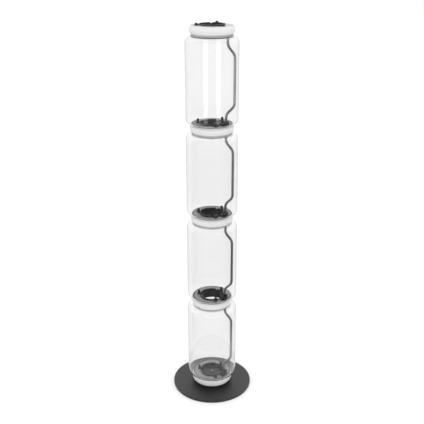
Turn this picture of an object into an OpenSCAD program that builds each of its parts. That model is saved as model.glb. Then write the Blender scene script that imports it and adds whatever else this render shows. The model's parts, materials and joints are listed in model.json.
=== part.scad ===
// Bubble tube floor lamp: four clear glass cylinders stacked on ring-shaped light joints.
// The origin is at the middle of the footprint on the floor, +Z up, sizes in millimetres.
// A joint's own zero is its seat plane: the rim of the grey carrier that stands in the glass neck.

/* [Glass cylinder] */
// Outer radius of the blown cylinder
glass_r = 125; // [115:1:135]
// Height of one cylinder
glass_h = 405; // [360:1:440]
// Wall thickness of the glass
glass_wall = 3; // [2:0.5:4]
// Outer radius of the rounded shoulders
glass_shoulder_r = 24; // [16:1:27]
// Radius of the open neck at both ends
neck_r = 95; // [93:0.5:97]

/* [Base] */
// Radius of the steel base disc
base_r = 204; // [180:0.5:230]
// Thickness of the steel base disc
base_t = 12; // [10:1:20]
// Rounding of the disc's top edge
base_edge = 1.5; // [0.5:0.5:3]
// Thickness of the rubber ring under the disc
pad_t = 3; // [2:0.5:5]
// Width of the rubber ring under the disc
pad_w = 36; // [20:1:60]
// How far the rubber ring stays back from the disc's edge
pad_inset = 2; // [1:0.5:12]
// Height of the black ring between the disc and the bottom joint
spacer_t = 12; // [11:0.5:16]
// Radial width of that ring, half of it on each side of the base screws
spacer_w = 12; // [11:0.5:13]

/* [Light joint] */
// Height of a joint from its seat plane to the underside of its gasket
joint_depth = 49; // [46:1:56]
// Height of the gasket that stands on the glass below
gasket_t = 6; // [5:0.5:8]
// Radial width of that gasket
gasket_w = 7; // [5:0.5:9]
// How far the gasket and the seal lie over the glass round the neck
glass_seat = 2; // [1.5:0.5:3]
// Gap between the carrier's rim and the glass neck
neck_gap = 1.5; // [1:0.5:2.5]
// How far the glass stands below the carrier's rim
rim_rise = 2.5; // [2:0.5:3.5]
// Thickness of the clear seal under the glass
seal_t = 1.5; // [1:0.25:2]
// Depth of the carrier's flat floor below its rim
floor_drop = 3.5; // [2.5:0.5:5]
// Width of the slope between the floor and the rim
slope_w = 9.5; // [8:0.5:11]
// Thickness of the carrier's floor
carrier_t = 3.5; // [3:0.5:5]
// Thickness of the carrier's upright wall
web_t = 3; // [2:0.5:4]
// Radial step from the seal's outer edge in to the carrier's upright wall
web_inset = 8; // [7:0.5:10]
// How far the collar stands out past the gasket
collar_overhang = 4.5; // [4:0.5:5.5]
// Height of the collar's outer wall
collar_h = 11; // [11:0.5:13]
// Thickness of the collar's floor and wall
collar_t = 3; // [2.5:0.5:4]
// Size of the slope round the collar's lower edge
collar_taper = 6; // [4:0.5:7]
// How far the frosted ring bulges past the collar
bulge = 3; // [2:0.5:4]
// Depth of the frosted ring's widest line below the seat plane
bulge_depth = 22; // [18:0.5:26]
// Wall thickness of the frosted ring
diffuser_wall = 3; // [2.5:0.5:3.5]
// Height of the light strip
led_h = 18; // [10:1:22]
// Thickness of the light strip on its wall
led_t = 1.5; // [1:0.5:2]

/* [Hub] */
// Radius of the hub's open bore
hub_bore_r = 58; // [54:0.5:59.5]
// Wall thickness of the hub tube
hub_wall = 3.5; // [2.5:0.5:4]
// How far the hub stands above the seat plane
hub_rise = 4; // [2:0.5:8]
// How far the top hub stands above its seat plane
top_hub_rise = 3; // [1:0.5:6]
// How far the hub shows under the collar
hub_tail = 2; // [1:0.5:4]
// Radius of the ears that carry the knobs
ear_r = 10; // [9:0.5:11]
// Thickness of the ears
ear_t = 3; // [2:0.5:4]
// Width of the entry notch beside each ear
notch_w = 11; // [6:1:14]

/* [Clamp knobs] */
// Distance from the hub's outside to a knob's axis
knob_offset = 7.5; // [7.5:0.25:9]
// The same distance at the top joint
top_knob_offset = 10.5; // [9.5:0.25:11]
// Direction of the first knob at the lower joints
knob_azimuth = 45; // [40:1:50]
// Direction of the first knob at the top joint
top_knob_azimuth = 72; // [60:1:80]
// Radius of a knob's skirt
knob_r = 7; // [5.5:0.5:7]
// Radius of a knob's fluted grip
grip_r = 6.2; // [5.2:0.1:6.8]
// Height of a knob above its ear
knob_h = 17; // [14:0.5:22]
// Radius of a top knob's ball
ball_r = 8.5; // [7:0.5:9]
// Height of the ball's centre above the seat plane
ball_rise = 0; // [-0.5:0.5:2]
// Radius of a knob's shaft
shaft_r = 3; // [2.5:0.25:3.5]
// Length of the cross bar that locks under the collar
bar_l = 12; // [10:0.5:12]
// Width of the cross bar
bar_w = 4; // [3:0.5:5]
// Thickness of the cross bar
bar_t = 2.8; // [2:0.2:3.2]

/* [Conduit rod] */
// Radius of the bent rod
rod_r = 6.25; // [4.5:0.25:6.5]
// Gap between the rod's long run and the glass
rod_glass_gap = 8; // [4:0.5:12]
// Distance from the hub's outside to the rod's seat
rod_offset = 10.5; // [9.5:0.5:12]
// Middle radius of the rod's bends
bend_r = 38; // [28:1:40]
// Angle of the slanting stretches from upright
bend_angle = 45; // [40:1:55]
// Height of each rod's lower double bend above its seat plane, from the bottom rod up
low_bends = [82, 66, 75, 67]; // [62:1:95]
// Depth of each rod's upper double bend below the next seat plane
high_bends = [105, 114, 105, 113]; // [98:1:130]
// Direction of the rods
rod_azimuth = -24.5; // [-32:0.5:-20]
// Direction of the top rod's long run
top_run_azimuth = -16; // [-24:0.5:-8]
// Direction of the top rod's upper end
top_seat_azimuth = -8; // [-14:0.5:-2]
// Height of the rod foot above the carrier's floor
foot_h = 19; // [14:0.5:24]
// Wall round the rod in its foot
foot_wall = 3.5; // [2.5:0.5:4]
// Thickness of the foot's curved plate and wall
foot_t = 4; // [3:0.5:5]

/* [Bottom joint] */
// Radius of a base screw's shaft
screw_r = 2.5; // [2:0.25:3]
// Radius of the bosses that the base screws enter
boss_r = 4.5; // [3.5:0.5:4.5]
// Height of those bosses above the collar's floor
boss_h = 8; // [6:0.5:12]
// Depth of the cover below the hub's top
cover_depth = 19; // [16:0.5:24]
// Thickness of the cover
cover_t = 3; // [2:0.5:4]
// Radius to which the lugs under the cover reach in
lug_in_r = 52; // [50:0.5:53]
// Width of those lugs
lug_w = 16; // [12:1:24]
// Radius of the stud that holds the cover
stud_r = 3; // [2.5:0.25:4]
// Radius of the dome nut's hexagon
nut_r = 7.5; // [6.5:0.25:9]
// Height of the dome nut's hexagon
nut_h = 6; // [4:0.5:8]
// Radius of the driver
driver_r = 46; // [38:1:50]
// Height of the driver
driver_h = 20; // [14:1:22]
// Radius of the cable inlet's bore
inlet_bore_r = 3.2; // [2.6:0.1:3.4]
// Radius of the cable inlet's shank
inlet_r = 4.3; // [4:0.1:4.5]

/* [Hidden] */
$fn = 96;

glass_count = 4;
top_joint = glass_count;
fit_gap = 0.1;       // between pieces that are pushed together
run_gap = 0.05;      // round a knob's shaft
slide_gap = 0.3;     // between faces that pass each other
part_gap = 0.5;      // round the hub and the frosted ring
over = 1;            // how far a cutting body runs past the face it cuts
end_gap = 1;         // left free at the blind end of a screw or stud
blind_floor = 3;     // metal left under a blind hole in the base disc

base_top = pad_t + base_t;
pitch = glass_h + joint_depth - rim_rise;
function seat_z(k) = base_top + spacer_t - collar_bottom + k * pitch;
function at(r, a) = [r * cos(a), r * sin(a)];

rim_r = neck_r - neck_gap;
seat_r = neck_r + glass_seat;
floor_r = rim_r - slope_w;
web_r = seat_r - web_inset;
collar_r = seat_r + collar_overhang;
collar_bottom = -(joint_depth - gasket_t);
collar_floor = collar_bottom + collar_t;
collar_top = collar_bottom + collar_h;
shoulder_z = -rim_rise - seal_t;
carrier_bottom = -floor_drop - carrier_t;

hub_r = hub_bore_r + hub_wall;
hub_bottom = collar_bottom - hub_tail;
hub_hole_r = hub_r + part_gap;
ear_top = ear_t - floor_drop;
knob_bottom = ear_top + slide_gap / 2;
knob_count = 3;
knob_step = 360 / knob_count;
function knob_circle(k) = hub_r + (k == top_joint ? top_knob_offset : knob_offset);
function knob_angle(k, i) = (k == top_joint ? top_knob_azimuth : knob_azimuth) + i * knob_step;
function hub_top(k) = k == top_joint ? top_hub_rise : hub_rise;

rod_seat_r = hub_r + rod_offset;
rod_run_r = glass_r - glass_wall - rod_glass_gap - rod_r;
rod_end = collar_floor + collar_t;
rod_sides = 20;
bend_steps = 6;
function run_azimuth(m) = m == glass_count - 1 ? top_run_azimuth : rod_azimuth;
function top_azimuth(m) = m == glass_count - 1 ? top_seat_azimuth : rod_azimuth;

screw_circle_r = web_r - web_t - part_gap - boss_r;
spacer_r = screw_circle_r + spacer_w / 2;
bar_pocket_r = norm([bar_l, bar_w]) / 2 + end_gap;
cover_top = seat_z(0) + hub_rise - cover_depth;
nut_top = cover_top + nut_h;
boss_azimuth = 105;
inlet_azimuth = 90;
inlet_z = base_top + spacer_t / 2;

// A ring between two radii and two heights.
module ring(r_in, r_out, z_low, z_high) {
    translate([0, 0, z_low])
        difference() {
            cylinder(r = r_out, h = z_high - z_low);
            translate([0, 0, -over])
                cylinder(r = r_in, h = z_high - z_low + 2 * over);
        }
}

// What is inside the angles a_low and a_high, as a prism to cut a ring with.
module sector(r, a_low, a_high, z_low, z_high) {
    a_mid = (a_low + a_high) / 2;
    translate([0, 0, z_low])
        linear_extrude(z_high - z_low)
            polygon([[0, 0], at(r, a_low), at(r, a_mid), at(r, a_high)]);
}

// ---------- Base ----------

module floor_pad() {
    color("dimgray")
        ring(base_r - pad_inset - pad_w, base_r - pad_inset, 0, pad_t);
}

module base_disc_profile() {
    translate([0, pad_t])
        square([base_r - base_edge, base_t]);
    translate([0, pad_t])
        square([base_r, base_t - base_edge]);
    translate([base_r - base_edge, base_top - base_edge])
        circle(r = base_edge);
}

head_r = 2.2 * screw_r;
head_h = head_r - screw_r;

module base_plate() {
    stud_depth = base_t - blind_floor;
    color([0.2, 0.2, 0.21])
        difference() {
            rotate_extrude()
                base_disc_profile();
            translate([0, 0, base_top - stud_depth])
                cylinder(r = stud_r + fit_gap, h = stud_depth + over);
            for (i = [0:knob_count - 1])
                translate(at(screw_circle_r, boss_azimuth + i * knob_step)) {
                    translate([0, 0, pad_t - over])
                        cylinder(r = screw_r + slide_gap, h = base_t + 2 * over);
                    translate([0, 0, pad_t])
                        cylinder(r1 = head_r + slide_gap, r2 = screw_r + slide_gap, h = head_h);
                    translate([0, 0, pad_t - over])
                        cylinder(r = head_r + slide_gap, h = over);
                }
        }
}

screw_top = seat_z(0) + collar_floor + boss_h - end_gap;

module base_screws() {
    color("silver")
        for (i = [0:knob_count - 1])
            translate(at(screw_circle_r, boss_azimuth + i * knob_step)) {
                translate([0, 0, pad_t])
                    cylinder(r1 = head_r, r2 = screw_r, h = head_h);
                translate([0, 0, pad_t + head_h])
                    cylinder(r = screw_r, h = screw_top - pad_t - head_h);
            }
}

module cover_stud() {
    stud_bottom = pad_t + blind_floor;
    color("silver")
        translate([0, 0, stud_bottom])
            cylinder(r = stud_r, h = nut_top - end_gap - stud_bottom);
}

module dome_nut() {
    dome_r = nut_r * cos(30) - part_gap;
    dome_sink = 0.5;
    color("gainsboro")
        difference() {
            union() {
                translate([0, 0, cover_top])
                    cylinder(r = nut_r, h = nut_h, $fn = 6);
                intersection() {
                    translate([0, 0, nut_top])
                        sphere(r = dome_r);
                    translate([0, 0, nut_top - dome_sink])
                        cylinder(r = nut_r, h = dome_r + over);
                }
            }
            translate([0, 0, cover_top - over])
                cylinder(r = stud_r + fit_gap, h = nut_h + over);
        }
}

module base_cover() {
    rib_w = 2;
    color([0.3, 0.3, 0.31])
        union() {
            ring(stud_r + fit_gap, hub_bore_r - part_gap, cover_top - cover_t, cover_top);
            ring(hub_bore_r - part_gap - 2 * rib_w, hub_bore_r - part_gap, cover_top, cover_top + rib_w);
        }
}

module driver() {
    color("white")
        ring(stud_r + part_gap, driver_r, base_top, base_top + driver_h);
}

module cable_inlet() {
    flange_t = 3;
    lip = 1;
    inner = spacer_r - spacer_w - lip;
    color([0.15, 0.15, 0.15])
        translate([0, 0, inlet_z])
            rotate([0, 0, inlet_azimuth])
                rotate([0, 90, 0])
                    difference() {
                        union() {
                            translate([0, 0, inner])
                                cylinder(r = inlet_r, h = spacer_r - inner + fit_gap);
                            translate([0, 0, spacer_r + fit_gap])
                                cylinder(r = inlet_r + lip, h = flange_t);
                        }
                        translate([0, 0, inner - over])
                            cylinder(r = inlet_bore_r, h = spacer_r - inner + flange_t + 2 * over);
                    }
}

// The black ring that lifts the bottom joint off the disc. The cable enters through its back,
// and three pockets in its top leave room for the knobs' cross bars.
module base_spacer() {
    color([0.08, 0.08, 0.08])
        difference() {
            ring(spacer_r - spacer_w, spacer_r, base_top, base_top + spacer_t);
            for (i = [0:knob_count - 1])
                translate(at(screw_circle_r, boss_azimuth + i * knob_step))
                    translate([0, 0, base_top - over])
                        cylinder(r = screw_r + slide_gap, h = spacer_t + 2 * over);
            for (i = [0:knob_count - 1])
                translate(at(knob_circle(0), knob_angle(0, i)))
                    translate([0, 0, base_top + spacer_t - bar_t - 2 * end_gap])
                        cylinder(r = bar_pocket_r, h = bar_t + 2 * end_gap + over);
            translate([0, 0, inlet_z])
                rotate([0, 0, inlet_azimuth])
                    rotate([0, 90, 0])
                        translate([0, 0, spacer_r - 2 * spacer_w])
                            cylinder(r = inlet_r + fit_gap, h = 3 * spacer_w);
        }
}

// ---------- Light joints ----------

module rim_seals() {
    color([0.85, 0.87, 0.88])
        for (k = [0:glass_count - 1])
            translate([0, 0, seat_z(k)])
                ring(rim_r + slide_gap, seat_r, shoulder_z, -rim_rise);
}

module neck_gaskets() {
    color([0.35, 0.35, 0.36])
        for (k = [1:top_joint])
            translate([0, 0, seat_z(k)])
                ring(seat_r - gasket_w, seat_r, -joint_depth, collar_bottom);
}

module led_rings() {
    led_mid = (carrier_bottom + collar_floor) / 2;
    color("lightyellow")
        for (k = [0:top_joint])
            translate([0, 0, seat_z(k)])
                ring(web_r, web_r + led_t, led_mid - led_h / 2, led_mid + led_h / 2);
}

// The cast carrier: a dished floor with a raised rim that centres the glass, and an upright wall.
// The top one carries no glass, so its floor runs out flat.
module carrier_profile(k) {
    rim_bevel = 0.8;
    dished = [
        [floor_r, -floor_drop], [rim_r - rim_bevel, 0], [rim_r, -rim_bevel], [rim_r, shoulder_z],
        [seat_r, shoulder_z]
    ];
    flat = [[seat_r - rim_bevel, -floor_drop], [seat_r, -floor_drop - rim_bevel]];
    polygon(concat(
        [[hub_hole_r, carrier_bottom], [hub_hole_r, -floor_drop]],
        k == top_joint ? flat : dished,
        [[seat_r, carrier_bottom], [web_r, carrier_bottom], [web_r, collar_floor]],
        [[web_r - web_t, collar_floor], [web_r - web_t, carrier_bottom]]
    ));
}

module carrier(k) {
    color([0.68, 0.68, 0.69])
        translate([0, 0, seat_z(k)])
            difference() {
                rotate_extrude()
                    carrier_profile(k);
                for (i = [0:knob_count - 1])
                    translate(at(knob_circle(k), knob_angle(k, i)))
                        translate([0, 0, carrier_bottom - over])
                            cylinder(r = shaft_r + slide_gap, h = carrier_t + 2 * over);
            }
}

// The white collar: a flat floor with a wall that slopes in at its foot.
module collar_profile() {
    inner_taper = collar_taper - collar_t / 2;
    wall_r = collar_r - collar_t;
    polygon([
        [hub_hole_r, collar_bottom], [collar_r - collar_taper, collar_bottom],
        [collar_r, collar_bottom + collar_taper], [collar_r, collar_top], [wall_r, collar_top],
        [wall_r, collar_floor + inner_taper], [wall_r - inner_taper, collar_floor],
        [hub_hole_r, collar_floor]
    ]);
}

// The knob's way through the collar: its cross bar only fits when it points outwards.
module bar_slot(k, i) {
    a = knob_angle(k, i);
    translate(at(knob_circle(k), a))
        translate([0, 0, collar_bottom - over]) {
            cylinder(r = shaft_r + slide_gap, h = collar_t + 2 * over);
            rotate([0, 0, a])
                translate([-bar_l / 2 - part_gap, -bar_w / 2 - slide_gap, 0])
                    cube([bar_l + 2 * part_gap, bar_w + 2 * slide_gap, collar_t + 2 * over]);
        }
}

module collar(k) {
    color([0.9, 0.9, 0.9])
        translate([0, 0, seat_z(k)])
            difference() {
                union() {
                    rotate_extrude()
                        collar_profile();
                    if (k == 0)
                        for (i = [0:knob_count - 1])
                            translate(at(screw_circle_r, boss_azimuth + i * knob_step))
                                translate([0, 0, collar_bottom + collar_t / 2])
                                    cylinder(r = boss_r, h = collar_t / 2 + boss_h);
                }
                for (i = [0:knob_count - 1])
                    bar_slot(k, i);
                if (k == 0) {
                    for (i = [0:knob_count - 1])
                        translate(at(screw_circle_r, boss_azimuth + i * knob_step))
                            translate([0, 0, collar_bottom - over])
                                cylinder(r = screw_r + fit_gap, h = collar_t + boss_h - end_gap + over);
                } else {
                    translate(at(rod_seat_r, top_azimuth(k - 1)))
                        translate([0, 0, collar_bottom - over])
                            cylinder(r = rod_r + fit_gap, h = collar_t + 2 * over);
                }
            }
}

// The frosted ring: a barrel shell whose arc starts at the carrier's edge and bulges past the collar.
diffuser_in = seat_r + part_gap;
diffuser_top = shoulder_z + part_gap;
widest_r = collar_r + bulge;
arc_drop = diffuser_top + bulge_depth;
arc_reach = widest_r - diffuser_in - part_gap;
arc_r = (arc_reach * arc_reach + arc_drop * arc_drop) / (2 * arc_reach);

module diffuser_profile() {
    difference() {
        intersection() {
            translate([widest_r - arc_r, -bulge_depth])
                circle(r = arc_r);
            translate([diffuser_in, collar_top])
                square([widest_r - diffuser_in + over, diffuser_top - collar_top]);
        }
        translate([widest_r - arc_r, -bulge_depth])
            circle(r = arc_r - diffuser_wall);
    }
}

module diffuser(k) {
    color([0.95, 0.95, 0.95])
        translate([0, 0, seat_z(k)])
            rotate_extrude()
                diffuser_profile();
}

// An ear on the hub for one knob: a round pad with a neck that runs in to the tube's wall.
module ear(k, i) {
    neck_w = 1.6 * ear_r;
    rotate([0, 0, knob_angle(k, i)])
        translate([0, 0, -floor_drop]) {
            translate([knob_circle(k), 0, 0])
                cylinder(r = ear_r, h = ear_t);
            translate([hub_r - hub_wall / 2, -neck_w / 2, 0])
                cube([knob_circle(k) - hub_r + hub_wall / 2, neck_w, ear_t]);
        }
}

// The open hub tube with three ears. The bottom hub also has three lugs under the cover.
module hub(k) {
    notch_turn = 21;
    lug_top = cover_top - cover_t - seat_z(0);
    lug_t = 3;
    color([0.12, 0.12, 0.12])
        translate([0, 0, seat_z(k)])
            difference() {
                union() {
                    translate([0, 0, hub_bottom])
                        cylinder(r = hub_r, h = hub_top(k) - hub_bottom);
                    for (i = [0:knob_count - 1])
                        ear(k, i);
                }
                difference() {
                    translate([0, 0, hub_bottom - over])
                        cylinder(r = hub_bore_r, h = hub_top(k) - hub_bottom + 2 * over);
                    if (k == 0)
                        for (i = [0:knob_count - 1])
                            rotate([0, 0, boss_azimuth + i * knob_step])
                                translate([lug_in_r, -lug_w / 2, lug_top - lug_t])
                                    cube([hub_r - lug_in_r, lug_w, lug_t]);
                }
                for (i = [0:knob_count - 1]) {
                    translate(at(knob_circle(k), knob_angle(k, i)))
                        translate([0, 0, -floor_drop - over])
                            cylinder(r = shaft_r + run_gap, h = ear_t + 2 * over);
                    rotate([0, 0, knob_angle(k, i) + notch_turn])
                        translate([hub_bore_r - over, -notch_w / 2, ear_top])
                            cube([hub_wall + 2 * over, notch_w, hub_top(k) - ear_top + over]);
                }
            }
}

// ---------- Conduit rods ----------

// Height of a double bend from its middle to its end, for two upright lines a distance d apart.
function slant(d) = (d - 2 * bend_r * (1 - cos(bend_angle))) / sin(bend_angle);
function half_rise(d) = bend_r * sin(bend_angle) + slant(d) * cos(bend_angle) / 2;

// A place on the rod's middle line is a pair: a point and the direction of the line there.
// The lean is measured from upright, towards the unit vector e.
function place(p, e, out, up, lean) =
    [[p.x + out * e.x, p.y + out * e.y, up], [sin(lean) * e.x, sin(lean) * e.y, cos(lean)]];

// The double bend between the upright lines over two points p and q, its middle at height z_mid.
function double_bend(p, q, z_mid) =
    let (d = norm(q - p), e = (q - p) / d, z_low = z_mid - half_rise(d), z_high = z_mid + half_rise(d))
    concat(
        [for (i = [0:bend_steps]) let (lean = bend_angle * i / bend_steps)
            place(p, e, bend_r * (1 - cos(lean)), z_low + bend_r * sin(lean), lean)],
        [for (i = [bend_steps:-1:0]) let (lean = bend_angle * i / bend_steps)
            place(p, e, d - bend_r * (1 - cos(lean)), z_high - bend_r * sin(lean), lean)]
    );

// The rod's course in cylinder m: from its foot out to the glass and back in to the next joint.
function rod_course(m) =
    let (
        foot = at(rod_seat_r, rod_azimuth),
        run = at(rod_run_r, run_azimuth(m)),
        head = at(rod_seat_r, top_azimuth(m)),
        level = [0, 0]
    )
    concat(
        [place(foot, level, 0, seat_z(m) - floor_drop, 0)],
        double_bend(foot, run, seat_z(m) + low_bends[m]),
        double_bend(run, head, seat_z(m + 1) - high_bends[m]),
        [place(head, level, 0, seat_z(m + 1) + rod_end, 0)]
    );

// The ring of points round one place, with no twist from one place to the next.
function rod_ring(spot, side) =
    let (t = spot[1], u0 = side - (side * t) * t, u = u0 / norm(u0), v = cross(t, u))
    [for (i = [0:rod_sides - 1]) let (a = i * 360 / rod_sides) spot[0] + rod_r * (cos(a) * u + sin(a) * v)];

module rod(m) {
    course = rod_course(m);
    side = [-sin(rod_azimuth), cos(rod_azimuth), 0];
    last = len(course) - 1;
    n = rod_sides;
    points = [for (spot = course) each rod_ring(spot, side)];
    walls = [for (j = [0:last - 1]) for (i = [0:n - 1])
        [j * n + i, (j + 1) * n + i, (j + 1) * n + (i + 1) % n, j * n + (i + 1) % n]];
    ends = [[for (i = [0:n - 1]) i], [for (i = [n - 1:-1:0]) last * n + i]];
    color([0.6, 0.6, 0.61])
        polyhedron(points = points, faces = concat(ends, walls));
}

// The rod's foot: a curved plate and outer wall on the carrier's floor, and a boss round the rod.
module rod_foot(m) {
    foot_in = hub_r + foot_wall / 2;
    boss_drop = 2;
    foot_out = floor_r - part_gap;
    before = 26;
    after = 8;
    color([0.13, 0.13, 0.13])
        translate([0, 0, seat_z(m) - floor_drop])
            difference() {
                union() {
                    intersection() {
                        union() {
                            ring(foot_in, foot_out, 0, foot_t);
                            ring(foot_out - foot_t, foot_out, 0, foot_h);
                        }
                        sector(2 * foot_out, rod_azimuth - before, rod_azimuth + after, -over, foot_h + over);
                    }
                    translate(at(rod_seat_r, rod_azimuth))
                        cylinder(r = rod_r + foot_wall, h = foot_h - boss_drop);
                }
                translate(at(rod_seat_r, rod_azimuth))
                    translate([0, 0, -over])
                        cylinder(r = rod_r + fit_gap, h = foot_h + 2 * over);
            }
}

// ---------- Glass ----------

module vessel_profile(r, h, corner) {
    translate([0, corner])
        square([r, h - 2 * corner]);
    square([r - corner, h]);
    translate([r - corner, corner])
        circle(r = corner);
    translate([r - corner, h - corner])
        circle(r = corner);
}

module glass(m) {
    inner_h = glass_h - 2 * glass_wall;
    inner_shoulder_r = glass_shoulder_r - glass_wall;
    color([0.85, 0.9, 0.92, 0.35])
        translate([0, 0, seat_z(m) - rim_rise])
            rotate_extrude()
                difference() {
                    vessel_profile(glass_r, glass_h, glass_shoulder_r);
                    translate([0, glass_wall])
                        vessel_profile(glass_r - glass_wall, inner_h, inner_shoulder_r);
                    translate([-over, -over])
                        square([neck_r + over, glass_h + 2 * over]);
                    translate([-glass_r, -over])
                        square([glass_r, glass_h + 2 * over]);
                }
}

// ---------- Clamp knobs ----------

module knob_shaft() {
    bar_top = collar_bottom - slide_gap;
    translate([0, 0, bar_top - bar_t])
        cylinder(r = shaft_r, h = knob_bottom + over - bar_top + bar_t);
    translate([-bar_w / 2, -bar_l / 2, bar_top - bar_t])
        cube([bar_w, bar_l, bar_t]);
}

// A turned head: skirt, waist and a fluted grip with a bevelled crown.
module knob_head() {
    skirt_h = 0.3 * knob_h;
    waist_h = 0.15 * knob_h;
    grip_z = skirt_h + waist_h;
    waist_r = grip_r - 1;
    skirt_edge = 0.6;
    crown = 1.4;
    flutes = 6;
    flute_r = 1.6;
    difference() {
        rotate_extrude()
            polygon([
                [0, 0], [knob_r, 0], [knob_r, skirt_h - skirt_edge], [knob_r - skirt_edge, skirt_h],
                [waist_r, skirt_h], [waist_r, grip_z], [grip_r, grip_z], [grip_r, knob_h - crown],
                [grip_r - crown, knob_h], [0, knob_h]
            ]);
        for (i = [0:flutes - 1])
            rotate([0, 0, (i + 0.5) * 360 / flutes])
                translate([grip_r + flute_r / 2, 0, grip_z - waist_h / 2])
                    cylinder(r = flute_r, h = knob_h);
    }
}

module ball_head() {
    intersection() {
        translate([0, 0, ball_rise - knob_bottom])
            sphere(r = ball_r);
        cylinder(r = ball_r + over, h = ball_rise - knob_bottom + ball_r + over);
    }
}

module knob(k, i) {
    color([0.18, 0.18, 0.18])
        translate([0, 0, seat_z(k)])
            translate(at(knob_circle(k), knob_angle(k, i)))
                rotate([0, 0, knob_angle(k, i)]) {
                    knob_shaft();
                    translate([0, 0, knob_bottom])
                        if (k == top_joint)
                            ball_head();
                        else
                            knob_head();
                }
}

floor_pad();
base_plate();
base_screws();
cover_stud();
dome_nut();
base_cover();
driver();
cable_inlet();
base_spacer();
rim_seals();
neck_gaskets();
led_rings();
carrier(0);  // carrier_1
carrier(1);  // carrier_2
carrier(2);  // carrier_3
carrier(3);  // carrier_4
carrier(4);  // carrier_5
collar(0);  // collar_1
collar(1);  // collar_2
collar(2);  // collar_3
collar(3);  // collar_4
collar(4);  // collar_5
diffuser(0);  // diffuser_1
diffuser(1);  // diffuser_2
diffuser(2);  // diffuser_3
diffuser(3);  // diffuser_4
diffuser(4);  // diffuser_5
hub(0);  // hub_1
hub(1);  // hub_2
hub(2);  // hub_3
hub(3);  // hub_4
hub(4);  // hub_5
rod(0);  // rod_1
rod(1);  // rod_2
rod(2);  // rod_3
rod(3);  // rod_4
rod_foot(0);  // rod_foot_1
rod_foot(1);  // rod_foot_2
rod_foot(2);  // rod_foot_3
rod_foot(3);  // rod_foot_4
glass(0);  // glass_1
glass(1);  // glass_2
glass(2);  // glass_3
glass(3);  // glass_4
knob(0, 0);  // knob_1a
knob(0, 1);  // knob_1b
knob(0, 2);  // knob_1c
knob(1, 0);  // knob_2a
knob(1, 1);  // knob_2b
knob(1, 2);  // knob_2c
knob(2, 0);  // knob_3a
knob(2, 1);  // knob_3b
knob(2, 2);  // knob_3c
knob(3, 0);  // knob_4a
knob(3, 1);  // knob_4b
knob(3, 2);  // knob_4c
knob(4, 0);  // knob_5a
knob(4, 1);  // knob_5b
knob(4, 2);  // knob_5c
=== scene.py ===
import json
import math

import bmesh
import bpy
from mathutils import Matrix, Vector

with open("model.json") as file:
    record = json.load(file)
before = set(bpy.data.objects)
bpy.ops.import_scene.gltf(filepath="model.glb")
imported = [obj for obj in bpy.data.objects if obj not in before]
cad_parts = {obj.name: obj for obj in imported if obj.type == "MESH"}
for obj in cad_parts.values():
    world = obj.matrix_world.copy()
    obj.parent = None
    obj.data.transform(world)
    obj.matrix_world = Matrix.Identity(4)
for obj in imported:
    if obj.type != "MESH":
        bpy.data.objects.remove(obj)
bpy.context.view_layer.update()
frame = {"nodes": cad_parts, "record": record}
nodes = frame["nodes"]
scene = bpy.context.scene

MM = 0.001

# ---------------------------------------------------------------- camera
# The photograph is square. The camera looks down at the lamp from in front, on -Y.
PHOTO_WIDTH = 424
FOCAL_PIXELS = 709.196
SENSOR_MM = 36.0
CAMERA_BACK = 3.26911
CAMERA_UP = 2.21902
CAMERA_PITCH = 20.8283
CLIP_END = 100.0

camera = bpy.data.objects.new("camera", bpy.data.cameras.new("camera"))
scene.collection.objects.link(camera)
camera.location = (0.0, -CAMERA_BACK, CAMERA_UP)
camera.rotation_euler = (math.radians(90 - CAMERA_PITCH), 0.0, 0.0)
camera.data.sensor_width = SENSOR_MM
camera.data.lens = FOCAL_PIXELS / PHOTO_WIDTH * SENSOR_MM
camera.data.clip_end = CLIP_END
scene.camera = camera


# ---------------------------------------------------------------- node helpers
def add_node(tree, kind, inputs, **settings):
    """Adds a node. Each of its inputs is given as a value or as the socket that feeds it."""
    made = tree.nodes.new(kind)
    for key, value in settings.items():
        setattr(made, key, value)
    for key, value in inputs.items():
        if isinstance(value, bpy.types.NodeSocket):
            tree.links.new(value, made.inputs[key])
        else:
            made.inputs[key].default_value = value
    return made


def math_node(tree, operation, a, b):
    """Arithmetic on two values, with the result held between 0 and 1."""
    made = add_node(tree, "ShaderNodeMath", {0: a, 1: b}, operation=operation, use_clamp=True)
    return made.outputs["Value"]


def map_range(tree, value, span, low, high, interpolation="LINEAR"):
    """Turns a value that runs over the span into one that runs from low to high."""
    start, end = span
    made = add_node(tree, "ShaderNodeMapRange", {
        "Value": value, "From Min": start, "From Max": end, "To Min": low, "To Max": high},
        interpolation_type=interpolation)
    return made.outputs["Result"]


def ray_kinds(tree):
    """Two values that are 1 or 0: for a ray that comes straight from the camera, also through the
    glass, and for a ray that something glossy has reflected on its way."""
    path = add_node(tree, "ShaderNodeLightPath", {}).outputs
    reflected = math_node(tree, "MULTIPLY", path["Glossy Depth"], 1.0)
    seen = math_node(tree, "ADD", path["Is Camera Ray"], path["Is Transmission Ray"])
    return math_node(tree, "SUBTRACT", seen, reflected), reflected


def grey(level):
    return (level, level, level)


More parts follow.
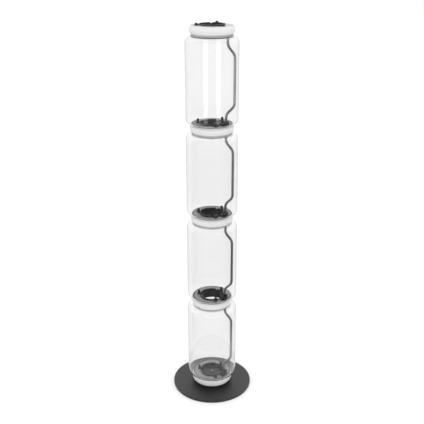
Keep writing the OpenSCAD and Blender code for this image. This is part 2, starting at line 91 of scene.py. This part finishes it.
class Shader:
    """A material with one Principled shader, and short ways to give it detail from noise."""

    NOISE_SPAN = (0.3, 0.7)     # the part of its range from 0 to 1 that noise mostly stays in

    def __init__(self, name, **values):
        self.material = bpy.data.materials.new(name)
        self.material.use_nodes = True
        self.tree = self.material.node_tree
        self.bsdf = self.tree.nodes["Principled BSDF"]
        self.place = add_node(self.tree, "ShaderNodeTexCoord", {}).outputs["Object"]
        for key, value in values.items():
            self.bsdf.inputs[key.replace("_", " ")].default_value = value

    def link(self, socket, name):
        self.tree.links.new(socket, self.bsdf.inputs[name])

    def noise(self, scale, detail, roughness=0.55, stretch=(1.0, 1.0, 1.0)):
        """Noise, its scale in waves per metre. Its roughness is the strength of the finer waves."""
        mapping = add_node(self.tree, "ShaderNodeMapping", {"Vector": self.place, "Scale": stretch})
        made = add_node(self.tree, "ShaderNodeTexNoise", {
            "Vector": mapping.outputs["Vector"], "Scale": scale, "Detail": detail, "Roughness": roughness})
        return made.outputs["Fac"]

    def colour(self, value, dark, light, span=NOISE_SPAN):
        """Base colour, from dark to light over a span of the value."""
        ramp = add_node(self.tree, "ShaderNodeValToRGB", {"Fac": value})
        for element, position, colour in zip(ramp.color_ramp.elements, span, (dark, light)):
            element.position = position
            element.color = (*colour, 1.0)
        self.link(ramp.outputs["Color"], "Base Color")

    def roughness(self, low, high, **noise):
        """Roughness that wanders between low and high with a noise."""
        self.link(map_range(self.tree, self.noise(**noise), self.NOISE_SPAN, low, high), "Roughness")

    def grain(self, depth, strength, **noise):
        """Bumps from a noise, with their depth in metres."""
        made = add_node(self.tree, "ShaderNodeBump", {
            "Height": self.noise(**noise), "Distance": depth, "Strength": strength})
        self.link(made.outputs["Normal"], "Normal")


# ---------------------------------------------------------------- materials
def powder_coat(name, dark, light, rough):
    s = Shader(name)
    s.colour(s.noise(scale=14.0, detail=4.0), grey(dark), grey(light))
    s.roughness(low=rough - 0.05, high=rough + 0.05, scale=60.0, detail=2.0)
    s.grain(depth=0.06 * MM, strength=0.6, scale=900.0, detail=2.0, roughness=0.5)
    return s.material


def rubber(name, level, rough=0.75):
    s = Shader(name)
    s.colour(s.noise(scale=45.0, detail=3.0), grey(level * 0.85), grey(level * 1.15))
    s.roughness(low=rough - 0.08, high=rough + 0.08, scale=180.0, detail=2.0)
    s.grain(depth=0.04 * MM, strength=0.5, scale=1500.0, detail=1.0)
    return s.material


def bare_metal(name, level, rough, scale=300.0, stretch=(1.0, 1.0, 1.0)):
    """A small stretch on one axis draws the grain out along it, as on a drawn bar."""
    s = Shader(name, Metallic=1.0)
    dark = (level * 0.94, level * 0.94, level * 0.945)
    light = (level * 1.04, level * 1.04, level * 1.045)
    s.colour(s.noise(scale=scale, detail=4.0, roughness=0.6, stretch=stretch), dark, light)
    s.roughness(
        low=rough - 0.05, high=rough + 0.07, scale=scale * 0.7, detail=3.0, roughness=0.6, stretch=stretch)
    s.grain(depth=0.01 * MM, strength=0.4, scale=scale * 2.5, detail=2.0, roughness=0.5, stretch=stretch)
    return s.material


def cast_aluminium(name):
    s = Shader(name, Metallic=0.25)
    s.colour(s.noise(scale=70.0, detail=4.0), grey(0.62), grey(0.70))
    s.roughness(low=0.38, high=0.5, scale=120.0, detail=3.0)
    s.grain(depth=0.03 * MM, strength=0.5, scale=1400.0, detail=2.0)
    return s.material


def white_paint(name):
    s = Shader(name, Coat_Weight=0.1, Coat_Roughness=0.3)
    s.colour(s.noise(scale=20.0, detail=3.0), grey(0.84), grey(0.88))
    s.roughness(low=0.38, high=0.48, scale=90.0, detail=2.0)
    s.grain(depth=0.02 * MM, strength=0.3, scale=900.0, detail=2.0)
    return s.material


def frosted(name):
    s = Shader(name, Subsurface_Weight=0.35, Subsurface_Scale=4.0 * MM, Subsurface_Radius=(1.0, 1.0, 1.0))
    s.colour(s.noise(scale=9.0, detail=2.0), grey(0.84), grey(0.88))
    s.roughness(low=0.36, high=0.46, scale=80.0, detail=2.0)
    s.grain(depth=0.02 * MM, strength=0.35, scale=2200.0, detail=1.0)
    return s.material


def black_gloss(name):
    s = Shader(name, Coat_Weight=0.3, Coat_Roughness=0.1)
    s.colour(s.noise(scale=25.0, detail=3.0), grey(0.040), grey(0.050))
    s.roughness(low=0.2, high=0.32, scale=70.0, detail=3.0)
    s.grain(depth=0.02 * MM, strength=0.25, scale=500.0, detail=2.0)
    return s.material


def dark_metal(name, level, rough, metallic=0.3):
    s = Shader(name, Metallic=metallic)
    s.colour(s.noise(scale=150.0, detail=3.0), grey(level * 0.8), grey(level * 1.25))
    s.roughness(low=rough - 0.06, high=rough + 0.08, scale=220.0, detail=3.0)
    s.grain(depth=0.02 * MM, strength=0.4, scale=900.0, detail=2.0)
    return s.material


def light_strip(name):
    """A white strip with rows of small yellow chips."""
    s = Shader(name)
    chips = add_node(s.tree, "ShaderNodeTexVoronoi", {"Vector": s.place, "Scale": 110.0, "Randomness": 0.0})
    s.colour(chips.outputs["Distance"], (0.86, 0.68, 0.22), grey(0.85), span=(0.28, 0.36))
    s.roughness(low=0.35, high=0.5, scale=300.0, detail=2.0)
    return s.material


def clear_glass(name):
    """Blown glass: a faint grey tint and long shallow waves."""
    s = Shader(name, Base_Color=(*grey(0.955), 1.0), Transmission_Weight=1.0, IOR=1.48)
    s.roughness(low=0.0, high=0.012, scale=5.0, detail=2.0)
    s.grain(depth=0.6 * MM, strength=0.12, scale=6.0, detail=1.0, roughness=0.4, stretch=(1.0, 1.0, 0.35))
    return s.material


def silicone(name, level):
    s = Shader(name, Transmission_Weight=0.35, IOR=1.41)
    s.colour(s.noise(scale=60.0, detail=2.0), grey(level * 0.95), grey(level * 1.05))
    s.roughness(low=0.3, high=0.4, scale=200.0, detail=2.0)
    return s.material


# Each material slot of the record: the function that makes its material, and the values it takes.
FINISHES = {
    "pad_rubber": (rubber, {"level": 0.03}),
    "base_steel": (powder_coat, {"dark": 0.024, "light": 0.030, "rough": 0.36}),
    "zinc_steel": (bare_metal, {"level": 0.62, "rough": 0.32}),
    "polished_nut": (bare_metal, {"level": 0.78, "rough": 0.12}),
    "cover_metal": (dark_metal, {"level": 0.08, "rough": 0.34}),
    "driver_case": (rubber, {"level": 0.7, "rough": 0.5}),
    "inlet_rubber": (rubber, {"level": 0.03}),
    "clear_seal": (silicone, {"level": 0.7}),
    "grey_gasket": (silicone, {"level": 0.62}),
    "light_strip": (light_strip, {}),
    "cast_aluminium": (cast_aluminium, {}),
    "white_metal": (white_paint, {}),
    "frosted_plastic": (frosted, {}),
    "black_metal": (black_gloss, {}),
    "satin_steel": (bare_metal, {"level": 0.5, "rough": 0.3, "scale": 500.0, "stretch": (1.0, 1.0, 0.05)}),
    "foot_metal": (dark_metal, {"level": 0.04, "rough": 0.4}),
    "clear_glass": (clear_glass, {}),
    "knob_metal": (dark_metal, {"level": 0.14, "rough": 0.18, "metallic": 0.9}),
}

materials = {slot: make(slot, **values) for slot, (make, values) in FINISHES.items()}
slots = {row["node"]: row["material_slot"] for row in frame["record"]["subparts"]}
for name, obj in nodes.items():
    obj.data.materials.clear()
    obj.data.materials.append(materials[slots[name]])

# ---------------------------------------------------------------- floor
# Pale, keeps the lamp's soft shadow, and shows as white round it. Seen in the lamp's gloss, it is
# white near the lamp and behind it, and dark in front, as where a white sweep stands in a dark room.
FLOOR_HALF = 20.0
FLOOR_PALE = 0.8
FLOOR_DARK = 0.1
FLOOR_GLOW = 0.28
DARK_FROM = (0.5, 0.75)     # the radii over which the dark part sets in
DARK_FADES = (4.0, 8.0)     # the radii over which it fades to this share:
FAR_SHARE = 0.3
SIDE_EDGE = (0.0, 0.5)      # where it ends, as Y over the radius: 0 is at the sides, 1 is straight behind

floor_mesh = bpy.data.meshes.new("floor")
bm = bmesh.new()
corners = [(-1, -1), (1, -1), (1, 1), (-1, 1)]
bm.faces.new([bm.verts.new((x * FLOOR_HALF, y * FLOOR_HALF, 0.0)) for x, y in corners])
bm.to_mesh(floor_mesh)
bm.free()
floor = bpy.data.objects.new("floor", floor_mesh)
scene.collection.objects.link(floor)

floor_shader = Shader("floor", Roughness=0.9, Emission_Color=(1.0, 1.0, 1.0, 1.0))
ft = floor_shader.tree
looked_at, reflected = ray_kinds(ft)
radius = add_node(ft, "ShaderNodeVectorMath", {0: floor_shader.place}, operation="LENGTH").outputs["Value"]
back = add_node(ft, "ShaderNodeSeparateXYZ", {0: floor_shader.place}).outputs["Y"]
beyond = map_range(ft, radius, DARK_FROM, 0.0, 1.0)
within = map_range(ft, radius, DARK_FADES, 1.0, FAR_SHARE)
in_front = map_range(ft, math_node(ft, "DIVIDE", back, radius), SIDE_EDGE, 1.0, 0.0, "SMOOTHSTEP")
dark_place = math_node(ft, "MULTIPLY", math_node(ft, "MULTIPLY", beyond, within), in_front)
dark = math_node(ft, "MULTIPLY", reflected, dark_place)
glows = math_node(ft, "SUBTRACT", math_node(ft, "ADD", looked_at, reflected), dark)
floor_shader.link(map_range(ft, dark, (0.0, 1.0), FLOOR_PALE, FLOOR_DARK), "Base Color")
floor_shader.link(math_node(ft, "MULTIPLY", glows, FLOOR_GLOW), "Emission Strength")
floor.data.materials.append(floor_shader.material)

# ---------------------------------------------------------------- world
# Even light, and white where the camera looks at it, also through clear glass. Gloss sees a white
# backdrop behind the lamp and a dim room in front of it.
AMBIENT = 1.0
BACKDROP = 1.0
ROOM_GLOSS = 0.10
ROOM_EDGE = (-0.3, 0.1)     # where the room goes over into the backdrop, as Y of a ray's direction

world = bpy.data.worlds.new("world")
scene.world = world
world.use_nodes = True
wt = world.node_tree
looked_at, reflected = ray_kinds(wt)
direction = add_node(wt, "ShaderNodeTexCoord", {}).outputs["Generated"]
back = add_node(wt, "ShaderNodeSeparateXYZ", {"Vector": direction}).outputs["Y"]
gloss = map_range(wt, back, ROOM_EDGE, ROOM_GLOSS, BACKDROP, "SMOOTHSTEP")
ambient_or_gloss = add_node(wt, "ShaderNodeMix", {0: reflected, 2: AMBIENT, 3: gloss}).outputs[0]
strength = add_node(wt, "ShaderNodeMix", {0: looked_at, 2: ambient_or_gloss, 3: BACKDROP}).outputs[0]
background = wt.nodes["Background"]
background.inputs["Color"].default_value = (1.0, 1.0, 1.0, 1.0)
wt.links.new(strength, background.inputs["Strength"])

# ---------------------------------------------------------------- softboxes
# Two upright ones in front, which give the two white bands in the top cylinder.
SOFTBOX_AZIMUTHS = {"strip_left": -27.0, "strip_right": 28.0}
SOFTBOX_DISTANCE = 3.0
SOFTBOX_Z = 1.35
SOFTBOX_WIDTH = 0.95
SOFTBOX_HEIGHT = 1.45
SOFTBOX_RADIANCE = 1.6


def softbox(name, azimuth):
    data = bpy.data.lights.new(name, "AREA")
    data.shape = "RECTANGLE"
    data.size, data.size_y = SOFTBOX_WIDTH, SOFTBOX_HEIGHT
    data.energy = SOFTBOX_RADIANCE * math.pi * SOFTBOX_WIDTH * SOFTBOX_HEIGHT
    obj = bpy.data.objects.new(name, data)
    a = math.radians(azimuth)
    obj.location = (SOFTBOX_DISTANCE * math.sin(a), -SOFTBOX_DISTANCE * math.cos(a), SOFTBOX_Z)
    aim = Vector((0.0, 0.0, SOFTBOX_Z)) - obj.location
    obj.rotation_euler = aim.to_track_quat("-Z", "Y").to_euler()
    obj.visible_camera = False
    scene.collection.objects.link(obj)


for name, azimuth in SOFTBOX_AZIMUTHS.items():
    softbox(name, azimuth)

scene.view_settings.view_transform = "Standard"
# The two glass walls in front of and behind every inner piece need this many bounces.
scene.cycles.max_bounces = 24
scene.cycles.glossy_bounces = 12
scene.cycles.transmission_bounces = 24
